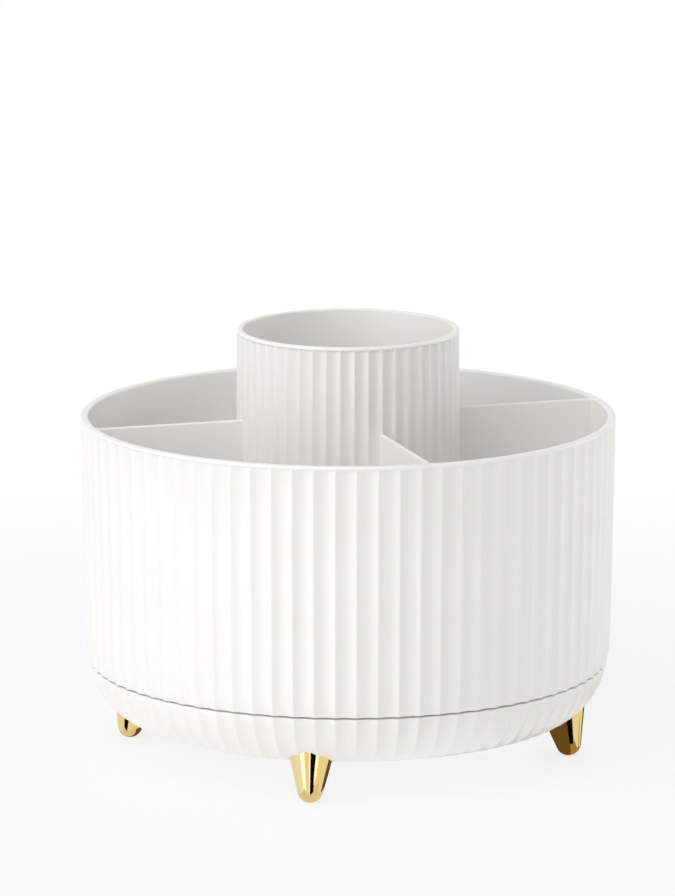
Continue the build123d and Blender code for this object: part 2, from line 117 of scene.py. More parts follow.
# %% [markdown]
# A turned shape is drawn as its meridian, the line that a cut through the axis would show. Each
# station on it is a radius and a height. They could be typed as a list, but a formula keeps the
# curve true when a size changes, and can place the stations closer where the curve is tighter.

# %% Stations along the meridian
corner_steps = 6


def wall_radius(height):
    """Radius to the arrises on the straight stretch of the wall."""
    return rim_radius - (rim_height - height) * tan(wall_draft)


def curl_angle(height, inset=0.0):
    """Angle along the turned-in stretch at which it passes a height."""
    share = min((curl_top - height) / (curl_top - underside - inset), 1)
    across = (1 - share**curl_power) ** (1 / curl_power)
    return atan2(share ** (curl_power / 2), across ** (curl_power / 2))


def curl_stations(first, last, steps, inset=0.0):
    """Radius and height at even turns along the turned-in stretch, from one height to another."""
    start, end = curl_angle(first, inset), curl_angle(last, inset)
    stations = []
    for step in range(steps + 1):
        angle = start + (end - start) * step / steps
        height = curl_top - (curl_top - underside - inset) * sin(angle) ** (2 / curl_power)
        across = max(cos(angle), 0.0) ** (2 / curl_power)
        radius = wall_radius(height) - inset - (curl_reach - inset) * (1 - across)
        stations.append((radius, height))
    return stations


def arc_stations(middle, radius, start, end, steps):
    """Radius and height along a round corner of the meridian, angles in degrees."""
    turns = [radians(start + (end - start) * step / steps) for step in range(steps + 1)]
    return [(middle[0] + radius * cos(turn), middle[1] + radius * sin(turn)) for turn in turns]


def rim_crown(radius, wall, height, rounding, steps):
    """Two quarter circles over a rim, from its outside to its inside."""
    level = height - rounding
    outer_arc = arc_stations((radius - rounding, level), rounding, 0, 90, steps)
    return outer_arc + arc_stations((radius - wall + rounding, level), rounding, 90, 180, steps)


def inner_corner(radius, floor, rounding):
    """A quarter circle from the inside of a wall down to its floor."""
    return arc_stations((radius - rounding, floor + rounding), rounding, 0, -90, corner_steps)


print("the wall is", round(wall_radius(curl_top) / MM, 2), "mm in radius where it starts to turn in")

# %% [markdown]
# A few small helpers stand for the hand on the mouse: they select, start to edit, merge and
# finish. They hold no shape themselves, so each piece reads as a list of steps: add a primitive,
# extrude, scale, bevel.

# %% Helpers for editing
merge_distance = 0.004 * MM


def select_only(piece):
    """Select one piece and nothing else, and make it the active one."""
    bpy.ops.object.select_all(action="DESELECT")
    piece.select_set(True)
    bpy.context.view_layer.objects.active = piece


def start_editing(piece):
    """Enter edit mode on one piece with nothing selected."""
    select_only(piece)
    bpy.ops.object.mode_set(mode="EDIT")
    bpy.ops.mesh.select_mode(type="VERT")
    bpy.ops.mesh.select_all(action="DESELECT")


def pick(piece, kind, test):
    """Select the vertices, edges or faces whose every corner passes a test, and count them."""
    mesh = bmesh.from_edit_mesh(piece.data)
    found = 0
    for element in getattr(mesh, kind):
        corners = [element] if kind == "verts" else element.verts
        chosen = all(test(corner.co) for corner in corners)
        element.select_set(chosen)
        found += chosen
    mesh.select_flush_mode()
    bmesh.update_edit_mesh(piece.data)
    return found


def scale_about_axis(factor):
    """Scale the selection in plan about the axis of the organizer."""
    bpy.ops.transform.resize(value=(factor, factor, 1), center_override=(0, 0, 0))


def merge_all():
    """Merge the vertices that lie in one place."""
    bpy.ops.mesh.select_all(action="SELECT")
    bpy.ops.mesh.remove_doubles(threshold=merge_distance)


def close_up():
    """Merge the seams, turn the faces outwards and leave edit mode."""
    merge_all()
    bpy.ops.mesh.normals_make_consistent(inside=False)
    bpy.ops.object.mode_set(mode="OBJECT")


def fill_ends():
    """Fill the open ends of a ring, and close it up."""
    bpy.ops.mesh.select_all(action="DESELECT")
    bpy.ops.mesh.select_non_manifold()
    bpy.ops.mesh.fill_holes(sides=0)
    close_up()


# %% [markdown]
# Whole pieces need a few helpers too. A new piece gets its name and has its place put into its
# mesh, so that its object stays at the origin. A copy gets a mesh of its own for the same reason.
# Joining and cutting are Booleans. Bridging the edges by hand would be cleaner in a small mesh,
# but a wall with eighty flutes has too many to match up.

# %% Helpers for whole pieces
def new_piece(name):
    """Name the primitive that was just added, and put its place into its mesh."""
    piece = bpy.context.active_object
    piece.name = piece.data.name = name
    bpy.ops.object.transform_apply(location=True, rotation=True, scale=True)
    return piece


def turned_copy(piece, angle):
    """A copy with its own mesh, turned about the axis of the organizer."""
    copy = piece.copy()
    copy.data = piece.data.copy()
    bpy.context.scene.collection.objects.link(copy)
    select_only(copy)
    copy.rotation_euler.z = angle
    bpy.ops.object.transform_apply(rotation=True)
    return copy


def combine(piece, other, operation):
    """Join or cut one piece with another that is then thrown away."""
    modifier = piece.modifiers.new(operation.lower(), "BOOLEAN")
    modifier.operation = operation
    modifier.object = other
    modifier.solver = "EXACT"
    select_only(piece)
    bpy.ops.object.modifier_apply(modifier=modifier.name)
    bpy.data.objects.remove(other)


# %% [markdown]
# The wall is a ring of concave flutes between sharp ridges, which a joiner calls arrises.
# One flute is enough to model: a row of vertices from one valley, over an arris, to the next
# valley is extruded up and round the meridian, the columns beside the arris are pushed inwards
# to a round hollow, and a spin with duplicates then sets all eighty side by side.
# Displacing a full ring would give the same shape, but its thousands of points are slower
# to shape and easy to get wrong.

# %% Helpers for one flute and its ring
columns_per_flute = 8
column_slack = 0.3  # share of a column by which its vertices may miss its middle


def azimuth(point):
    """Angle of a point about the axis, from a degree below 0 to nearly a full turn."""
    angle = atan2(point.y, point.x)
    return angle if angle > -pi / 180 else angle + 2 * pi


def on_arris_line(point, count):
    """Whether a point of a wedge is in the column that its arris runs along."""
    pitch = 2 * pi / count
    return abs(azimuth(point) - pitch / 2) < pitch / columns_per_flute / 4


def start_wedge(name, count, first):
    """A row of vertices one flute wide, on the circle of its first station."""
    pitch = 2 * pi / count
    radius, height = first
    bpy.ops.object.select_all(action="DESELECT")
    bpy.ops.mesh.primitive_circle_add(
        vertices=count * columns_per_flute, radius=radius, location=(0, 0, height)
    )
    piece = new_piece(name)
    start_editing(piece)
    margin = pitch / columns_per_flute / 4
    pick(piece, "verts", lambda point: not -margin < azimuth(point) < pitch + margin)
    bpy.ops.mesh.delete(type="VERT")
    bpy.ops.mesh.select_all(action="SELECT")
    return piece


def follow_meridian(stations):
    """Extrude the selected row from station to station."""
    for (radius, height), (next_radius, next_height) in zip(stations, stations[1:]):
        bpy.ops.mesh.extrude_region_move(
            TRANSFORM_OT_translate={"value": (0, 0, next_height - height)}
        )
        scale_about_axis(next_radius / radius)


def carve_flute(piece, count, depth_at, stations, share=1.0):
    """Push the columns beside the arris inwards at each of these stations."""
    pitch = 2 * pi / count
    half_columns = columns_per_flute // 2
    for radius, height in stations:
        for column in range(1, half_columns + 1):
            hollow = depth_at(radius) * share * (1 - (1 - column / half_columns) ** 2)

            def beside_arris(point):
                turn = abs(azimuth(point) - pitch / 2) * columns_per_flute / pitch
                level = abs(point.z - height) < merge_distance
                outside = abs(hypot(point.x, point.y) - radius) < merge_distance
                return level and outside and abs(turn - column) < column_slack

            pick(piece, "verts", beside_arris)
            scale_about_axis((radius - hollow) / radius)


def soften(piece, width, segments, test):
    """Bevel the edges that pass a test, and count them."""
    bpy.ops.mesh.select_mode(type="EDGE")
    count = pick(piece, "edges", test)
    bpy.ops.mesh.bevel(offset=width, segments=segments, profile=0.5, affect="EDGES")
    bpy.ops.mesh.select_mode(type="VERT")
    return count


def spin_ring(count):
    """Repeat the finished flute round the axis and merge the copies."""
    bpy.ops.mesh.select_all(action="SELECT")
    bpy.ops.mesh.spin(
        steps=count - 1,
        dupli=True,
        angle=2 * pi * (count - 1) / count,
        center=(0, 0, 0),
        axis=(0, 0, 1),
    )
    merge_all()


# %% [markdown]
# The flutes fade into a plain band below the rim. A sudden end would take fewer vertices, but it
# would catch the light as a row of notches, so each flute loses its depth over a millimetre.
# Where the wall turns in, the flutes get shallower too, with the square of the radius.

# %% How the flutes fade
flute_runout = 1.0 * MM
runout_levels = (0, 0.35, 0.7, 0.9, 1)  # shares of the runout at which the side has a ring
runout_depths = (1, 0.86, 0.55, 0.22)  # share of the depth that is left at all but the last


def wall_flute(radius):
    """Depth of the wall's flutes at a radius."""
    return flute_depth * (radius / rim_radius) ** 2


def carve_runout(piece, count, depth_at, rings):
    """Hollow the flute less and less over the rings of its runout."""
    for ring, share in zip(rings, runout_depths):
        carve_flute(piece, count, depth_at, [ring], share)


print("flutes:", round(wall_flute(rim_radius) / MM, 2), "mm deep at the rim")

# %% [markdown]
# The tub is one moulding: fluted wall, floor, four dividers, and below the floor a skirt, a ring
# pad for the bearing and a hub. Where the bearing lies is read from the frame. The other sizes
# are written out, because a mesh doesn't say which of its corners belong to what.

# %% Sizes of the tub
skirt_height = 2.8 * MM
tub_floor = 2.6 * MM
floor_bottom = seam_top + skirt_height
floor_top = floor_bottom + tub_floor
floor_corner = 6.0 * MM
hub_radius = 10.0 * MM
bore_radius = 4.05 * MM
race_width = 16.0 * MM
race_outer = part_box("upper_race")[1].x
race_inner = race_outer - race_width
race_pad_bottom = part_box("upper_race")[1].z
tub_curl_steps = 8
tub_rim_steps = 5
wall_rings = (80 * MM, 106 * MM)  # heights at which the straight wall has a ring
floor_rings = (60 * MM, 20 * MM)  # radii at which the floor has a ring
print("the tub is", round((rim_height - floor_top) / MM, 1), "mm deep inside")

# %% [markdown]
# Its meridian runs up the outside, over the rounded rim, down the smooth inside, across the
# floor and back along the underside. A Solidify modifier could thicken a single skin, but it
# would put the flutes on the inside as well, and this wall is smooth there.

# %% Tub: wall and floor
outer_low = curl_stations(seam_top, curl_top, tub_curl_steps)
outer_high = [(wall_radius(height), height) for height in wall_rings]
flute_end = rim_height - rim_band - flute_runout
fade = [
    (wall_radius(flute_end + flute_runout * level), flute_end + flute_runout * level)
    for level in runout_levels
]
inner_foot = wall_radius(floor_top) - tub_wall
skirt_radius = outer_low[0][0] - tub_wall
tub_inside = [(radius, floor_top) for radius in (*floor_rings, bore_radius)]
tub_underside = [
    (bore_radius, hub_bottom),
    (hub_radius, hub_bottom),
    (hub_radius, floor_bottom),
    (race_inner, floor_bottom),
    (race_inner, race_pad_bottom),
    (race_outer, race_pad_bottom),
    (race_outer, floor_bottom),
    (skirt_radius, floor_bottom),
    (skirt_radius, seam_top),
]
tub_meridian = (
    outer_low
    + outer_high
    + fade
    + rim_crown(rim_radius, tub_wall, rim_height, rim_round, tub_rim_steps)
    + inner_corner(inner_foot, floor_top, floor_corner)
    + tub_inside
    + tub_underside
)
tub = start_wedge("fluted_tub", flute_count, tub_meridian[0])
follow_meridian(tub_meridian + tub_meridian[:1])
merge_all()
print("tub: a wedge with", len(tub_meridian), "stations")

# %% [markdown]
# A moulded ridge is never quite sharp, and its small round catches a line of light. The arris
# and the lower edge are bevelled by a quarter of a millimetre while there is one flute to do.
# A Bevel modifier on the full ring would find many more edges than these.

# %% Tub: hollow the flute, soften its edges and spin it
arris_margin = 1.4 * MM  # more than the wall has turned in by the seam
arris_end = fade[len(runout_depths) - 1][1]  # the last ring that has any flute

carve_flute(tub, flute_count, wall_flute, outer_low + outer_high)
carve_runout(tub, flute_count, wall_flute, fade)


def on_tub_arris(point):
    """Whether a point of the tub's wedge is on its arris, up to where the flutes fade."""
    outside = hypot(point.x, point.y) > wall_radius(point.z) - arris_margin
    return on_arris_line(point, flute_count) and outside and point.z < arris_end + merge_distance


def on_tub_lower_edge(point):
    """Whether a point of the tub's wedge is on the outer edge above the seam."""
    outside = hypot(point.x, point.y) > outer_low[0][0] - flute_depth - merge_distance
    return outside and point.z < seam_top + merge_distance


softened = soften(
    tub, edge_round, edge_segments, lambda point: on_tub_arris(point) or on_tub_lower_edge(point)
)
spin_ring(flute_count)
close_up()
print("tub:", softened, "edges softened on one flute,", len(tub.data.polygons), "faces in all")

# %% [markdown]
# A divider is a thin upright plate that thickens a little towards the floor and flares where it
# meets the wall and the floor, because plastic flows badly round a sharp inner corner. A Bevel
# after the Boolean could round those corners, but it fails easily where so many edges meet. So
# it starts as a cube, and its ends are extruded in small steps that widen like a quarter circle.

# %% Sizes of a divider, and its flare
divider_half = 1.0 * MM
divider_growth = 0.484 * MM  # how much thicker each side is at the floor
divider_inner_end = 40.0 * MM
divider_top = rim_height - 0.05 * MM  # a hair under the rim, so that no two faces share a plane
flare = 1.2 * MM
foot_flare = 0.8 * MM
flare_steps = 4
bite = 1.0 * MM  # how far a divider reaches into the wall and the floor


def flare_offsets(radius):
    """Along and across steps of a hollow quarter circle."""
    turns = [pi / 2 * step / flare_steps for step in range(flare_steps + 1)]
    return [(radius * sin(turn), radius * (1 - cos(turn))) for turn in turns]


def flare_out(direction, radius, half_width):
    """Extrude the selected end in steps that widen it, and then on by the bite."""
    offsets = flare_offsets(radius)
    width = half_width
    for (along, _), (next_along, next_across) in zip(offsets, offsets[1:]):
        step = [part * (next_along - along) for part in direction]
        bpy.ops.mesh.extrude_region_move(TRANSFORM_OT_translate={"value": step})
        next_width = half_width + next_across
        bpy.ops.transform.resize(value=(1, next_width / width, 1))
        width = next_width
    last_step = [part * bite for part in direction]
    bpy.ops.mesh.extrude_region_move(TRANSFORM_OT_translate={"value": last_step})


wall_inside = rim_radius - tub_wall
flare_start = wall_inside - flare
foot_start = floor_top + foot_flare
print("a divider's plate ends", round(flare / MM, 1), "mm short of the wall")

# %% [markdown]
# The plate stops short of the wall and the floor by the size of its flares. Its lower corners
# are spread before anything is extruded, so the flares carry on from the thicker foot.

# %% Divider: a plate with flared ends
bpy.ops.object.select_all(action="DESELECT")
bpy.ops.mesh.primitive_cube_add(
    size=1,
    location=((divider_inner_end + flare_start) / 2, 0, (foot_start + divider_top) / 2),
    scale=(flare_start - divider_inner_end, 2 * divider_half, divider_top - foot_start),
)
divider = new_piece("divider")
start_editing(divider)
pick(divider, "verts", lambda point: point.z < foot_start + merge_distance)
bpy.ops.transform.resize(value=(1, 1 + divider_growth / divider_half, 1))
bpy.ops.mesh.select_mode(type="FACE")
pick(divider, "faces", lambda point: point.x > flare_start - merge_distance)
flare_out((1, 0, 0), flare, divider_half)
pick(divider, "faces", lambda point: point.z < foot_start + merge_distance)
flare_out((0, 0, -1), foot_flare, divider_half + divider_growth)
print("divider:", len(bmesh.from_edit_mesh(divider.data).faces), "faces")

# %% [markdown]
# The wall leans, so the divider's outer end is moved in at its foot until it leans as much.
# Its upper edges are bevelled nearly to a full round, as the mould's cutter leaves them.
# Four separate dividers would each have to be edited alike, so one is finished and three copies
# are turned into place before all four are joined to the tub.

# %% Divider: lean its end, round its upper edges and join all four to the tub
divider_round = 0.8 * MM
divider_round_segments = 4

bpy.ops.mesh.select_mode(type="VERT")
pick(
    divider,
    "verts",
    lambda point: point.x > flare_start - merge_distance and point.z < foot_start + bite,
)
bpy.ops.transform.translate(value=(inner_foot - wall_inside, 0, 0))


def on_upper_side(point):
    """Whether a point is on one of the divider's two long upper edges."""
    return point.z > divider_top - merge_distance and abs(point.y) > divider_half / 2


def pick_upper_edges(piece):
    """Select the upper edges that run along the divider."""
    mesh = bmesh.from_edit_mesh(piece.data)
    for edge in mesh.edges:
        start, end = edge.verts[0].co, edge.verts[1].co
        along = start.y * end.y > 0 and abs(start.x - end.x) > merge_distance
        edge.select_set(along and on_upper_side(start) and on_upper_side(end))
    bmesh.update_edit_mesh(piece.data)


bpy.ops.mesh.select_mode(type="EDGE")
pick_upper_edges(divider)
bpy.ops.mesh.bevel(
    offset=divider_round, segments=divider_round_segments, profile=0.5, affect="EDGES"
)
bpy.ops.mesh.select_mode(type="VERT")
close_up()

dividers = [divider] + [turned_copy(divider, pi / 2 * quarter) for quarter in range(1, 4)]
for piece in dividers:
    combine(tub, piece, "UNION")
print("tub with dividers:", len(tub.data.polygons), "faces")

# %% [markdown]
# The brush cup is a second moulding with narrower flutes. It widens downwards by under a degree.
# It stands on the tub's floor on its own wall, and its floor is raised over the head of the bolt.
# Its sizes are kept apart from the tub's, because either can change without the other.

# %% Sizes of the cup
cup_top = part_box("brush_cup")[1].z
cup_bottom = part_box("brush_cup")[0].z
cup_rim_radius = 43.5 * MM
cup_draft = radians(0.8)
cup_wall = 2.4 * MM
cup_floor_rise = 3.4 * MM  # room for the head of the bolt
cup_floor = 2.4 * MM
cup_corner = 4.0 * MM
cup_flute_count = 50
cup_flute_depth = 0.95 * MM
cup_rim_round = 0.7 * MM
cup_rim_steps = 4
cup_rings = (80 * MM, 120 * MM)  # heights at which the cup's side has a ring
cup_floor_ring = 20 * MM
pole_radius = 2.0 * MM  # where a wedge stops short of the axis

cup_floor_bottom = cup_bottom + cup_floor_rise
cup_floor_top = cup_floor_bottom + cup_floor
cup_base_radius = cup_rim_radius + (cup_top - cup_bottom) * tan(cup_draft)
cup_inner_foot = cup_base_radius - cup_wall
cup_flute_end = cup_top - rim_band - flute_runout
print("the cup stands", round((cup_top - rim_height) / MM, 1), "mm above the tub's rim")

# %% [markdown]
# A cylinder with a bevelled rim would miss the flutes, so the cup is made as the tub was: one
# flute, then a spin. Its floor stays open at the axis until the spin is done, because a wedge
# can't be scaled to a point there.

# %% Cup: a wedge of its wall and floor
def cup_station(height):
    """Radius and height on the cup's side, which widens evenly below the end of its flutes."""
    share = (height - cup_bottom) / (cup_flute_end - cup_bottom)
    return cup_rim_radius + (cup_base_radius - cup_rim_radius) * (1 - share), height


cup_side = [cup_station(height) for height in (cup_bottom, *cup_rings)]
cup_fade = [(cup_rim_radius, cup_flute_end + flute_runout * level) for level in runout_levels]
cup_meridian = (
    [(pole_radius, cup_floor_bottom), (cup_inner_foot, cup_floor_bottom)]
    + [(cup_inner_foot, cup_bottom)]
    + cup_side
    + cup_fade
    + rim_crown(cup_rim_radius, cup_wall, cup_top, cup_rim_round, cup_rim_steps)
    + inner_corner(cup_inner_foot, cup_floor_top, cup_corner)
    + [(cup_floor_ring, cup_floor_top), (pole_radius, cup_floor_top)]
)
cup = start_wedge("fluted_cup", cup_flute_count, cup_meridian[0])
follow_meridian(cup_meridian)
print("cup: a wedge with", len(cup_meridian), "stations")

# %% [markdown]
# The cup's flutes are as deep at its foot as at its rim. They end under a plain band like the
# tub's, and their arrises get a slightly smaller round, because the cup is the finer moulding.

# %% Cup: hollow the flute, soften its arris and spin it
cup_edge_round = 0.2 * MM
cup_arris_end = cup_fade[len(runout_depths) - 1][1]


def cup_flute(radius):
    """Depth of the cup's flutes, which is the same at every radius."""
    return cup_flute_depth


def on_cup_arris(point):
    """Whether a point of the cup's wedge is on its arris, up to where the flutes fade."""
    outside = hypot(point.x, point.y) > cup_rim_radius - merge_distance
    below_band = point.z < cup_arris_end + merge_distance
    return on_arris_line(point, cup_flute_count) and outside and below_band


carve_flute(cup, cup_flute_count, cup_flute, cup_side)
carve_runout(cup, cup_flute_count, cup_flute, cup_fade)
softened = soften(cup, cup_edge_round, edge_segments, on_cup_arris)
spin_ring(cup_flute_count)
fill_ends()
print("cup:", softened, "edges softened on one flute,", len(cup.data.polygons), "faces in all")

# %% [markdown]
# The dividers' inner ends fit the cup's flutes, so the cup's own outline cuts them, grown by a
# hair. Trimming the ends square would leave slots that show from above. The square hole keeps
# the bolt's neck from turning in the tub.

# %% Cut the tub to the cup and the bolt
cup_fit = 0.05 * MM
neck_hole = 9.1 * MM
cutter_stations = [
    (cup_base_radius + cup_fit, cup_bottom - cup_fit),
    (cup_rim_radius + cup_fit, cup_flute_end),
]
cutter = start_wedge("cup_cutter", cup_flute_count, cutter_stations[0])
follow_meridian(cutter_stations)
carve_flute(cutter, cup_flute_count, cup_flute, cutter_stations)
spin_ring(cup_flute_count)
fill_ends()
combine(tub, cutter, "DIFFERENCE")

bpy.ops.object.select_all(action="DESELECT")
bpy.ops.mesh.primitive_cube_add(
    size=1,
    location=(0, 0, (floor_bottom + floor_top + bite) / 2),
    scale=(neck_hole, neck_hole, floor_top + bite - floor_bottom),
)
combine(tub, new_piece("neck_cutter"), "DIFFERENCE")
print("tub, cut to its neighbours:", len(tub.data.polygons), "faces")

# %% [markdown]
# The dish carries on the tub's curve below the seam, down to a flat underside. A lip inside its
# edge stands up behind the seam, so no light comes through it. Inside there are a boss for the
# bush and two ribs under the lower race, and their heights come from the pieces that they carry.

# %% Sizes of the dish
lip_clearance = 0.5 * MM
lip_thickness = 1.6 * MM
lip_depth = 3.0 * MM
boss_wall = 3.0 * MM
bush_radius = 6.05 * MM
bush_flange = 1.6 * MM
race_rib = 6.0 * MM
race_outer_rib = 2.6 * MM
underside_ring = 40 * MM
dish_curl_steps = 12
dish_inside_steps = 8

dish_floor_top = underside + dish_wall
lip_outer = skirt_radius - lip_clearance
lip_inner = lip_outer - lip_thickness
lip_root = seam_bottom - lip_depth
recess_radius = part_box("pivot_cap")[1].x
boss_radius = recess_radius + boss_wall
boss_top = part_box("pivot_bush")[1].z - bush_flange
web_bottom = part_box("pivot_bush")[0].z
race_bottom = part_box("lower_race")[0].z
print("the lip rises", round((lip_top - seam_bottom) / MM, 2), "mm behind the seam")

# %% [markdown]
# The dish has the same eighty flutes as the tub, and they have to meet at the seam. Cutting one
# tall ring in two there would match them too, but the dish needs an inside of its own, so it
# gets its own meridian from the same formula, and one flute is spun as before.

# %% Dish
dish_outside = curl_stations(seam_bottom, underside, dish_curl_steps)
dish_inside = curl_stations(lip_root, dish_floor_top, dish_inside_steps, dish_wall)
dish_meridian = (
    dish_outside
    + [(underside_ring, underside), (recess_radius, underside), (recess_radius, web_bottom)]
    + [(bush_radius, web_bottom), (bush_radius, boss_top), (boss_radius, boss_top)]
    + [(boss_radius, dish_floor_top), (race_inner, dish_floor_top), (race_inner, race_bottom)]
    + [(race_inner + race_rib, race_bottom), (race_inner + race_rib, dish_floor_top)]
    + [(race_outer - race_outer_rib, dish_floor_top), (race_outer - race_outer_rib, race_bottom)]
    + [(race_outer, race_bottom), (race_outer, dish_floor_top)]
    + dish_inside[::-1]
    + [(lip_inner, lip_root), (lip_inner, lip_top), (lip_outer, lip_top)]
    + [(lip_outer, seam_bottom)]
)
dish = start_wedge("fluted_dish", flute_count, dish_meridian[0])
follow_meridian(dish_meridian + dish_meridian[:1])
merge_all()
carve_flute(dish, flute_count, wall_flute, dish_outside)


def on_dish_edges(point):
    """Whether a point of the dish's wedge is on its arris or its upper outer edge."""
    radius = hypot(point.x, point.y)
    outside = any(
        abs(radius - at_radius) < merge_distance and abs(point.z - height) < merge_distance
        for at_radius, height in dish_outside
    )
    at_top = abs(point.z - seam_bottom) < merge_distance
    on_top_edge = at_top and radius > lip_outer + merge_distance
    return on_top_edge or outside and on_arris_line(point, flute_count)


softened = soften(dish, edge_round, edge_segments, on_dish_edges)
spin_ring(flute_count)
close_up()
print("dish:", softened, "edges softened on one flute,", len(dish.data.polygons), "faces in all")

# %% [markdown]
# Each foot is a small cone with a round tip, turned from metal and plated. It could be spun from
# its outline, but a cone primitive needs one bevel to get there: it stands upright, and its tip
# is a wide bevel. Then it is tilted as a whole, so that its upper end leans towards the axis,
# and a level cut at the floor grinds a small flat on the tip.

# %% Foot
foot_offset = 89.0 * MM
foot_widening = radians(14.8)
foot_lean = radians(10.0)
foot_tip_round = 4.6 * MM
foot_tip_middle = 0.3 * MM
foot_tip_ground = 0.1 * MM
foot_top_room = 5.0 * MM  # how far the upright cone ends below the seam
foot_sides = 96
tip_segments = 14
tip_level = 0.002 * MM  # a hair above the floor, so that rounding puts no corner below it

foot_length = seam_bottom - foot_top_room
tip_bevel = foot_tip_round / tan(pi / 4 + foot_widening / 2)  # from the sharp edge to the arc
foot_end_radius = foot_tip_middle + tip_bevel
bpy.ops.object.select_all(action="DESELECT")
bpy.ops.mesh.primitive_cone_add(
    vertices=foot_sides,
    radius1=foot_end_radius,
    radius2=foot_end_radius + foot_length * tan(foot_widening),
    depth=foot_length,
    location=(foot_offset, 0, foot_length / 2),
)
foot = new_piece("gold_foot")
start_editing(foot)
soften(foot, tip_bevel, tip_segments, lambda point: point.z < merge_distance)
bpy.ops.mesh.select_all(action="SELECT")
bpy.ops.transform.rotate(
    value=foot_lean, orient_axis="Y", center_override=(foot_offset, 0, 0)
)
tip_fall = foot_tip_round * (1 - cos(foot_lean)) + foot_tip_middle * sin(foot_lean)
bpy.ops.transform.translate(value=(0, 0, tip_fall - foot_tip_ground))
bpy.ops.mesh.bisect(
    plane_co=(0, 0, tip_level),
    plane_no=(0, 0, 1),
    use_fill=True,
    clear_inner=True,
    threshold=merge_distance / 4,
)
close_up()
print("foot:", len(foot.data.polygons), "faces")

# %% [markdown]
# The foot's upper end sits in a pocket two millimetres deep in the dish. A flat end would stand
# proud of the curve on one side, so the dish's own curve, set in by the pocket's depth, cuts the
# foot. The same foot, a hair larger, then cuts its pocket, and four copies stand a quarter turn
# apart.

# %% Cut the foot to its seat, and set four in the dish
foot_names = ("foot_front", "foot_right", "foot_back", "foot_left")
foot_first_angle = radians(-117.0)
pocket_inset = 2.0 * MM
pocket_fit = 0.06 * MM
seat_steps = 16

seat_level = underside + pocket_inset
seat_stations = (
    [(pole_radius, seam_bottom)]
    + curl_stations(seam_bottom, seat_level, seat_steps, pocket_inset)
    + [(pole_radius, seat_level)]
)
seat = start_wedge("seat_cutter", flute_count, seat_stations[0])
follow_meridian(seat_stations)
spin_ring(flute_count)
fill_ends()
combine(foot, seat, "DIFFERENCE")

feet = {}
for turn, name in enumerate(foot_names):
    angle = foot_first_angle + pi / 2 * turn
    pocket = turned_copy(foot, angle)
    start_editing(pocket)
    bpy.ops.mesh.select_all(action="SELECT")
    bpy.ops.transform.shrink_fatten(value=pocket_fit)
    bpy.ops.object.mode_set(mode="OBJECT")
    combine(dish, pocket, "DIFFERENCE")
    feet[name] = turned_copy(foot, angle)
    feet[name].name = f"gold_{name}"
bpy.data.objects.remove(foot)
print("dish with its pockets:", len(dish.data.polygons), "faces")

# %% [markdown]
# Smooth shading would blur the arrises and the seam, and flat shading would show every facet.
# Shading by angle keeps each edge that turns more than about thirty degrees.

# %% Shade the new pieces
smooth_angle = radians(32)
new_pieces = (tub, cup, dish, *feet.values())
for piece in new_pieces:
    select_only(piece)
    bpy.ops.object.shade_smooth_by_angle(angle=smooth_angle)
print("shaded", len(new_pieces), "pieces")

# %% [markdown]
# Materials start from what each thing is made of. Colours are written as sRGB hex values, as a
# painter would pick them, and one function turns them to the linear values that a renderer
# mixes. One more function adds a node with its settings and its links. Patterns read Object
# coordinates, which are in metres here, so a noise with a scale of one over a real size has
# lumps of about that size.

# %% Helpers for materials
noise_middle = {"From Min": 0.3, "From Max": 0.7}  # the range that most of a noise falls in


def linear(hex_colour):
    """Linear colour with alpha from an sRGB hex value."""
    parts = [int(hex_colour[i : i + 2], 16) / 255 for i in (1, 3, 5)]
    return tuple(
        part / 12.92 if part <= 0.04045 else ((part + 0.055) / 1.055) ** 2.4 for part in parts
    ) + (1.0,)


def add_node(tree, kind, inputs=None, **settings):
    """Add a node with its settings, its constant inputs and its links."""
    node = tree.nodes.new(kind)
    for name, value in settings.items():
        setattr(node, name, value)
    for name, value in (inputs or {}).items():
        if isinstance(value, bpy.types.NodeSocket):
            tree.links.new(value, node.inputs[name])
        else:
            node.inputs[name].default_value = value
    return node


def start_material(name, colour, roughness, **constants):
    """A material with a Principled shader whose constant values are on its own sockets."""
    material = bpy.data.materials.new(name)
    material.use_nodes = True
    material.diffuse_color = linear(colour)
    tree = material.node_tree
    shader = tree.nodes["Principled BSDF"]
    shader.inputs["Base Color"].default_value = linear(colour)
    shader.inputs["Roughness"].default_value = roughness
    for socket, value in constants.items():
        shader.inputs[socket.replace("_", " ")].default_value = value
    place = add_node(tree, "ShaderNodeTexCoord").outputs["Object"]
    return material, tree, shader, place


# %% [markdown]
# White ABS, injection moulded in a polished steel mould. Light goes a little way into it, which
# softens its shadows, and its skin is smooth with a soft gloss. The mould leaves a faint
# orange-peel of about half a millimetre, and the melt leaves cloudy changes of tone some
# centimetres wide. A plain white would do from afar, but close up it looks like paper.

# %% White ABS
abs_peel = 0.45 * MM
abs_cloud = 28.0 * MM
white_abs, tree, shader, place = start_material(
    "white_abs", "#F7F6F3", 0.34, IOR=1.54, Subsurface_Weight=0.06, Subsurface_Scale=1.2 * MM
)
cloud = add_node(
    tree, "ShaderNodeTexNoise", {"Vector": place, "Scale": 1 / abs_cloud}
).outputs["Fac"]
cloud_share = add_node(tree, "ShaderNodeMapRange", {"Value": cloud, **noise_middle})
tone = add_node(
    tree,
    "ShaderNodeMix",
    {"Factor": cloud_share.outputs[0], "A": linear("#F6F5F1"), "B": linear("#F8F7F4")},
    data_type="RGBA",
)
tree.links.new(tone.outputs["Result"], shader.inputs["Base Color"])
gloss = add_node(
    tree, "ShaderNodeMapRange", {"Value": cloud, **noise_middle, "To Min": 0.31, "To Max": 0.38}
)
tree.links.new(gloss.outputs[0], shader.inputs["Roughness"])
peel = add_node(tree, "ShaderNodeTexNoise", {"Vector": place, "Scale": 1 / abs_peel})
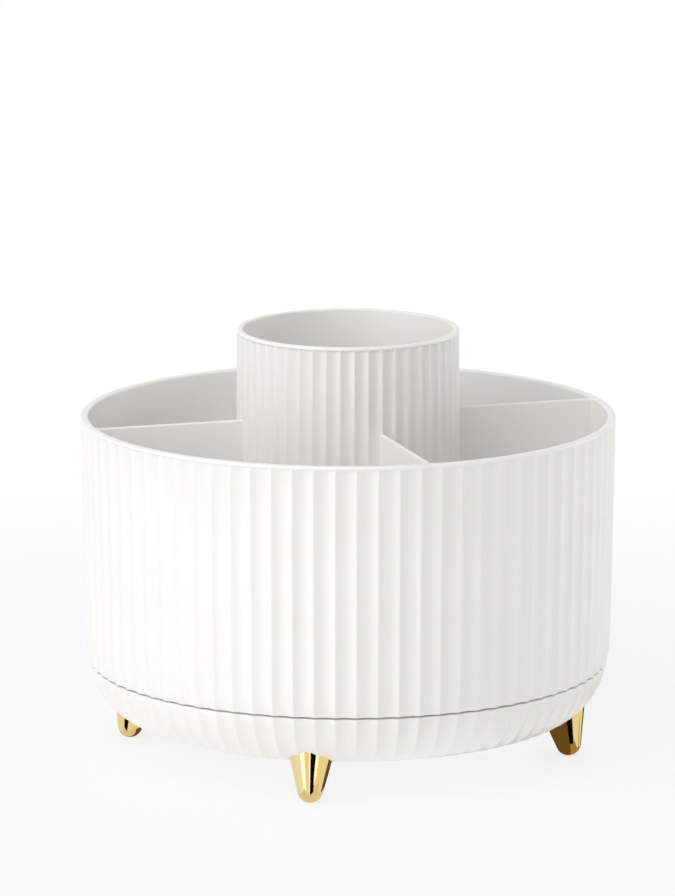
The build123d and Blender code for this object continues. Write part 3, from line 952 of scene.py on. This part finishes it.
skin = add_node(
    tree,
    "ShaderNodeBump",
    {"Height": peel.outputs["Fac"], "Strength": 0.12, "Distance": 0.01 * MM},
)
tree.links.new(skin.outputs["Normal"], shader.inputs["Normal"])
print("white ABS:", len(tree.nodes), "nodes")

# %% [markdown]
# Gold plating over a polished casting. A metal colours its own reflections, so the yellow is the
# base colour and the metallic value is one. The plating is nearly a mirror, with a slight haze
# that varies over a few millimetres from the polishing wheel, and very fine marks from its grit.
# A yellow gloss paint would be simpler, but it can't show the dark stripes of real metal.

# %% Gold plating
gold_haze = 3.0 * MM
gold_scratch = 0.25 * MM
gold_plate, tree, shader, place = start_material("gold_plate", "#E8CE8C", 0.12, Metallic=1.0)
haze = add_node(tree, "ShaderNodeTexNoise", {"Vector": place, "Scale": 1 / gold_haze})
gloss = add_node(
    tree,
    "ShaderNodeMapRange",
    {"Value": haze.outputs["Fac"], **noise_middle, "To Min": 0.03, "To Max": 0.07},
)
tree.links.new(gloss.outputs[0], shader.inputs["Roughness"])
scratch = add_node(tree, "ShaderNodeTexNoise", {"Vector": place, "Scale": 1 / gold_scratch})
skin = add_node(
    tree,
    "ShaderNodeBump",
    {"Height": scratch.outputs["Fac"], "Strength": 0.04, "Distance": 0.005 * MM},
)
tree.links.new(skin.outputs["Normal"], shader.inputs["Normal"])
print("gold plating:", len(tree.nodes), "nodes")

# %% [markdown]
# The screws, bolt, nut, washer and balls are zinc plated steel: grey with a cold shine, and a
# faint crystal mottle of about a millimetre from the plating bath. A Voronoi pattern gives the
# mottle its cells, which a noise wouldn't have.

# %% Zinc plated steel
zinc_crystal = 0.9 * MM
zinc_plated_steel, tree, shader, place = start_material(
    "zinc_plated_steel", "#C3C5C8", 0.3, Metallic=1.0
)
crystals = add_node(
    tree, "ShaderNodeTexVoronoi", {"Vector": place, "Scale": 1 / zinc_crystal}
).outputs["Distance"]
bloom = add_node(
    tree,
    "ShaderNodeMix",
    {"Factor": crystals, "A": linear("#BDC0C5"), "B": linear("#CBCBC8")},
    data_type="RGBA",
)
tree.links.new(bloom.outputs["Result"], shader.inputs["Base Color"])
gloss = add_node(
    tree, "ShaderNodeMapRange", {"Value": crystals, **noise_middle, "To Min": 0.24, "To Max": 0.38}
)
tree.links.new(gloss.outputs[0], shader.inputs["Roughness"])
print("zinc plated steel:", len(tree.nodes), "nodes")

# %% [markdown]
# The races and the bush are natural acetal, a waxy, slightly see-through white plastic that
# slides well. Some light goes into it, which a plain white wouldn't show, and its gloss is
# uneven over some millimetres.

# %% Acetal
acetal_cloud = 6.0 * MM
natural_acetal, tree, shader, place = start_material(
    "natural_acetal", "#E8E5DA", 0.38, IOR=1.48, Subsurface_Weight=0.15, Subsurface_Scale=1.5 * MM
)
wax = add_node(tree, "ShaderNodeTexNoise", {"Vector": place, "Scale": 1 / acetal_cloud})
gloss = add_node(
    tree,
    "ShaderNodeMapRange",
    {"Value": wax.outputs["Fac"], **noise_middle, "To Min": 0.33, "To Max": 0.44},
)
tree.links.new(gloss.outputs[0], shader.inputs["Roughness"])
print("acetal:", len(tree.nodes), "nodes")

# %% [markdown]
# The ball cage is grey nylon, which is duller than the acetal. A filler gives it a fine grain in
# tone and height, so one noise drives both.

# %% Nylon
nylon_grain = 0.3 * MM
nylon_detail = 4.0
grey_nylon, tree, shader, place = start_material("grey_nylon", "#94979A", 0.5, IOR=1.53)
speckle = add_node(
    tree,
    "ShaderNodeTexNoise",
    {"Vector": place, "Scale": 1 / nylon_grain, "Detail": nylon_detail},
).outputs["Fac"]
tone = add_node(
    tree,
    "ShaderNodeMix",
    {"Factor": speckle, "A": linear("#8D9093"), "B": linear("#9B9EA0")},
    data_type="RGBA",
)
tree.links.new(tone.outputs["Result"], shader.inputs["Base Color"])
skin = add_node(
    tree, "ShaderNodeBump", {"Height": speckle, "Strength": 0.2, "Distance": 0.02 * MM}
)
tree.links.new(skin.outputs["Normal"], shader.inputs["Normal"])
print("nylon:", len(tree.nodes), "nodes")

# %% [markdown]
# Each part of the frame that stays visible takes the material of its slot. The new pieces ride
# on the body of the part that they stand for, so they turn with it.

# %% Put the materials on, and let the new pieces ride
finishes = {
    "white_abs": white_abs,
    "gold_plate": gold_plate,
    "zinc_plated_steel": zinc_plated_steel,
    "natural_acetal": natural_acetal,
    "grey_nylon": grey_nylon,
}
for subpart in frame["record"]["subparts"]:
    node = frame["nodes"][subpart["node"]]
    node.data.materials.clear()
    node.data.materials.append(finishes[subpart["material_slot"]])

stand_ins = [
    (tub, "tub", "carousel", "white_abs"),
    (cup, "brush_cup", "carousel", "white_abs"),
    (dish, "base_dish", "base", "white_abs"),
] + [(piece, name, "base", "gold_plate") for name, piece in feet.items()]
for piece, node, body, slot in stand_ins:
    piece.data.materials.clear()
    piece.data.materials.append(finishes[slot])
    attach(piece, body)
    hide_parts(node)
print(len(stand_ins), "pieces stand in for parts of the frame")

# %% [markdown]
# The set is a pale floor under an even white surround. A plane would do as a floor, but its
# corners could show in a low view, so it is a wide disc. It lies a hair under the feet.

# %% Floor
floor_reach = 14.0
floor_sides = 96
floor_gap = 0.1 * MM  # keeps the flat tips of the feet from sharing the floor's plane
bpy.ops.object.select_all(action="DESELECT")
bpy.ops.mesh.primitive_circle_add(
    vertices=floor_sides, radius=floor_reach, fill_type="NGON", location=(0, 0, -floor_gap)
)
studio_floor = new_piece("studio_floor")
floor_paint, tree, shader, place = start_material("floor_paint", "#F4F4F2", 0.9)
studio_floor.data.materials.append(floor_paint)
print("floor:", floor_reach, "m in radius")

# %% [markdown]
# The floor is seen as white, and still keeps a soft shadow under the object. More light could
# whiten it, but that would clip the pale plastic. So the camera sees the lit floor mixed with
# plain white close to the object, and only white further out. The plastic gets some of that
# white as light from below, and mirrors see no floor but the middle, under the dish.

# %% What each kind of ray sees of the floor
floor_glow = 0.5  # share of white in the light that the floor throws on the plastic
near_white = 0.76  # share of white that the camera sees close to the object
near_reach = 0.16
far_reach = 0.6
mirrored_floor = 0.05  # mirrors see the floor this far from the axis, and beyond it what is below
mirrored_edge = 1.1  # and it has gone at this many times as far

ray = add_node(tree, "ShaderNodeLightPath").outputs
seen = add_node(
    tree,
    "ShaderNodeMath",
    {0: ray["Is Camera Ray"], 1: ray["Is Transmission Ray"]},
    operation="MAXIMUM",
)
far = add_node(tree, "ShaderNodeVectorMath", {0: place}, operation="LENGTH").outputs["Value"]
fading = add_node(
    tree,
    "ShaderNodeMapRange",
    {"Value": far, "From Min": near_reach, "From Max": far_reach},
    interpolation_type="SMOOTHSTEP",
)
lift = add_node(
    tree, "ShaderNodeMapRange", {"Value": fading.outputs[0], "To Min": near_white, "To Max": 1.0}
)
white_seen = add_node(
    tree, "ShaderNodeMath", {0: seen.outputs[0], 1: lift.outputs[0]}, operation="MULTIPLY"
)
white_share = add_node(
    tree,
    "ShaderNodeMath",
    {0: ray["Is Diffuse Ray"], 1: floor_glow, 2: white_seen.outputs[0]},
    operation="MULTIPLY_ADD",
)
glow = add_node(tree, "ShaderNodeEmission", {"Color": (1, 1, 1, 1), "Strength": 1.0})
blend = add_node(
    tree,
    "ShaderNodeMixShader",
    {0: white_share.outputs[0], 1: shader.outputs[0], 2: glow.outputs[0]},
)
beyond = add_node(
    tree,
    "ShaderNodeMapRange",
    {"Value": far, "From Min": mirrored_floor, "From Max": mirrored_floor * mirrored_edge},
)
clear_share = add_node(
    tree, "ShaderNodeMath", {0: ray["Is Glossy Ray"], 1: beyond.outputs[0]}, operation="MULTIPLY"
)
clear = add_node(tree, "ShaderNodeBsdfTransparent")
surface = add_node(
    tree,
    "ShaderNodeMixShader",
    {0: clear_share.outputs[0], 1: blend.outputs[0], 2: clear.outputs[0]},
)
tree.links.new(surface.outputs[0], tree.nodes["Material Output"].inputs["Surface"])
print("floor paint:", len(tree.nodes), "nodes")

# %% [markdown]
# The surround is white wherever it is seen, straight on, in a mirror or through something clear.
# As a light it is only half as strong, which leaves room for lamps to shape the object. A real
# cyclorama could be modelled, but a world needs no mesh and has no corners.

# %% Surround
surround_fill = 0.52
world = bpy.data.worlds.new("studio_surround")
bpy.context.scene.world = world
world.use_nodes = True
tree = world.node_tree
ray = add_node(tree, "ShaderNodeLightPath").outputs
seen_or_mirrored = add_node(
    tree,
    "ShaderNodeMath",
    {0: ray["Is Camera Ray"], 1: ray["Is Glossy Ray"]},
    operation="MAXIMUM",
)
seen_at_all = add_node(
    tree,
    "ShaderNodeMath",
    {0: seen_or_mirrored.outputs[0], 1: ray["Is Transmission Ray"]},
    operation="MAXIMUM",
)
level = add_node(
    tree,
    "ShaderNodeMapRange",
    {"Value": seen_at_all.outputs[0], "To Min": surround_fill, "To Max": 1.0},
)
background = tree.nodes["Background"]
background.inputs["Color"].default_value = (1, 1, 1, 1)
tree.links.new(level.outputs[0], background.inputs["Strength"])
print("surround:", surround_fill, "as a light")

# %% [markdown]
# A broad lamp low on the left makes the light fall off gently towards the right, which is what
# shows the flutes. One above it lights the inside of the tub, and a small one on the far right
# keeps the wall's edge from sinking into grey. A single hard lamp would draw sharp black shadows.

# %% Lamps
def add_panel(name, turn, rise, distance, width, height, power, colour="#FFFFFF"):
    """A soft lamp at an azimuth and elevation about the object, aimed at its middle."""
    data = bpy.data.lights.new(name, "AREA")
    data.shape = "RECTANGLE"
    data.size, data.size_y = width, height
    data.energy = power
    data.color = linear(colour)[:3]
    panel = bpy.data.objects.new(name, data)
    bpy.context.scene.collection.objects.link(panel)
    aim = Vector((0, 0, rim_height / 2))
    turn, rise = radians(turn), radians(rise)
    away = Vector((sin(turn) * cos(rise), -cos(turn) * cos(rise), sin(rise)))
    panel.location = aim + away * distance
    panel.rotation_mode = "QUATERNION"
    panel.rotation_quaternion = away.to_track_quat("Z", "Y")
    panel.visible_camera = False
    print(name, "gives", power, "W")


add_panel(
    "key_lamp", turn=-66, rise=17, distance=1.9, width=1.4, height=1.4, power=9.2, colour="#FFFDF9"
)
add_panel("top_lamp", turn=-58, rise=58, distance=1.9, width=1.6, height=1.6, power=11.4)
add_panel("edge_lamp", turn=92, rise=6, distance=1.2, width=0.5, height=0.5, power=2.7)

# %% [markdown]
# Polished metal shows whatever stands round it, so in a white room it looks flat and chalky.
# Painting stripes on it would look right from one side only. A photographer stands cards just
# out of view instead. Only mirror-like surfaces see them here, so they neither light nor shade
# the plastic.

# %% Helpers for the cards
def card_paint(name, colour, strength):
    """A plain emission, so that a card looks equally bright from every side."""
    paint = bpy.data.materials.new(name)
    paint.use_nodes = True
    tree = paint.node_tree
    glow = add_node(tree, "ShaderNodeEmission", {"Color": linear(colour), "Strength": strength})
    tree.links.new(glow.outputs[0], tree.nodes["Material Output"].inputs["Surface"])
    return paint


def stage_card(name, paint):
    """Name and paint the plane that was just added, and hide it from all but mirrors."""
    card = new_piece(name)
    for kind in ("camera", "diffuse", "shadow", "transmission"):
        setattr(card, f"visible_{kind}", False)
    card.data.materials.append(paint)
    print(name, "spans", [round(side, 3) for side in card.dimensions])


def stand_card(name, paint, turn, distance, width, bottom, top):
    """An upright card facing the object, from one height to another."""
    bpy.ops.object.select_all(action="DESELECT")
    turn = radians(turn)
    bpy.ops.mesh.primitive_plane_add(
        size=1,
        location=(sin(turn) * distance, -cos(turn) * distance, (bottom + top) / 2),
        rotation=(pi / 2, 0, turn),
    )
    bpy.context.active_object.scale = (width, top - bottom, 1)
    stage_card(name, paint)


def lay_card(name, paint, foot_angle, drop, away, shift, size):
    """A square card that lies below the floor, shifted from under a foot's tip one way."""
    bpy.ops.object.select_all(action="DESELECT")
    away = radians(away)
    bpy.ops.mesh.primitive_plane_add(
        size=size,
        location=(
            foot_offset * cos(foot_angle) + cos(away) * shift,
            foot_offset * sin(foot_angle) + sin(away) * shift,
            -drop,
        ),
        rotation=(0, 0, away),
    )
    stage_card(name, paint)


# %% [markdown]
# Most of the upright cards stand in front of the feet and reach well below the floor, because a
# cone that widens upwards mirrors what lies below the horizon. Black ones draw the dark stripe
# that makes a round foot read as metal, with a lighter line on each side of it. A bright one
# gives the lit side, and a cool one beside it tints the left. Two brown ones behind are painted
# shade: they stand for the floor in the object's shade, which only the edges of the feet mirror.

# %% Upright cards
black_paint = card_paint("black_card", "#0A0806", 1.0)
# brown is painted shade: the floor in the object's shade, as the feet mirror it
shade_brown_paint = card_paint("shade_brown_card", "#6E5836", 1.0)
cool_paint = card_paint("cool_card", "#CEDAFF", 1.6)
white_paint = card_paint("white_card", "#F8FAFF", 1.7)
bright_paint = card_paint("bright_card", "#F8FAFF", 2.5)
stand_card("stripe_card", black_paint, turn=-8.0, distance=1.18, width=0.62, bottom=-0.66, top=0.2)
stand_card("left_line_card", white_paint, turn=-26.0, distance=1.19, width=0.14, bottom=-0.66, top=0.9)
stand_card("right_line_card", white_paint, turn=10.0, distance=1.19, width=0.3, bottom=-0.58, top=0.2)
stand_card("bright_band_card", bright_paint, turn=-61.5, distance=1.17, width=0.42, bottom=-0.64, top=0.9)
stand_card("side_card", cool_paint, turn=-88.0, distance=1.2, width=1.3, bottom=-0.64, top=0.9)
stand_card("left_stripe_card", black_paint, turn=-62.5, distance=1.15, width=0.9, bottom=-1.12, top=-0.69)
stand_card("right_stripe_card", black_paint, turn=19.5, distance=1.2, width=0.95, bottom=-1.1, top=-0.68)
stand_card("back_card", shade_brown_paint, turn=119.0, distance=1.2, width=1.5, bottom=-0.8, top=-0.5)
stand_card("far_back_card", shade_brown_paint, turn=142.0, distance=1.22, width=1.2, bottom=-0.5, top=-0.3)

# %% [markdown]
# A foot's round tip mirrors the floor that it stands on. Mirrors see through the floor where the
# feet stand, so a card laid just below it stands for the floor there. A pale one is the lit
# floor, and brown and tan ones are the shade that the dish throws on it. One large card could
# serve all feet, but each stands in other light.

# %% Cards under the tips of the feet
tan_paint = card_paint("tan_card", "#B19161", 1.0)
pale_paint = card_paint("pale_card", "#F0EEE8", 1.0)
front_foot = foot_first_angle
right_foot = front_foot + pi / 2
left_foot = front_foot - pi / 2
upper_drop = 2.0 * MM
lower_drop = 3.0 * MM
lay_card("front_tip_card", pale_paint, front_foot, upper_drop, away=-107.5, shift=0, size=32 * MM)
lay_card("right_shade_card", shade_brown_paint, right_foot, upper_drop, away=174.0, shift=30 * MM, size=60 * MM)
lay_card("right_tip_card", tan_paint, right_foot, lower_drop, away=174.0, shift=0, size=30 * MM)
lay_card("left_shade_card", shade_brown_paint, left_foot, upper_drop, away=37.5, shift=10 * MM, size=20 * MM)
lay_card("left_tip_card", pale_paint, left_foot, lower_drop, away=-107.5, shift=0, size=20 * MM)

# %% [markdown]
# The Standard view shows a colour about as it was written, where a film-like view would grey the
# white.

# %% Set the view transform
bpy.context.scene.view_settings.view_transform = "Standard"
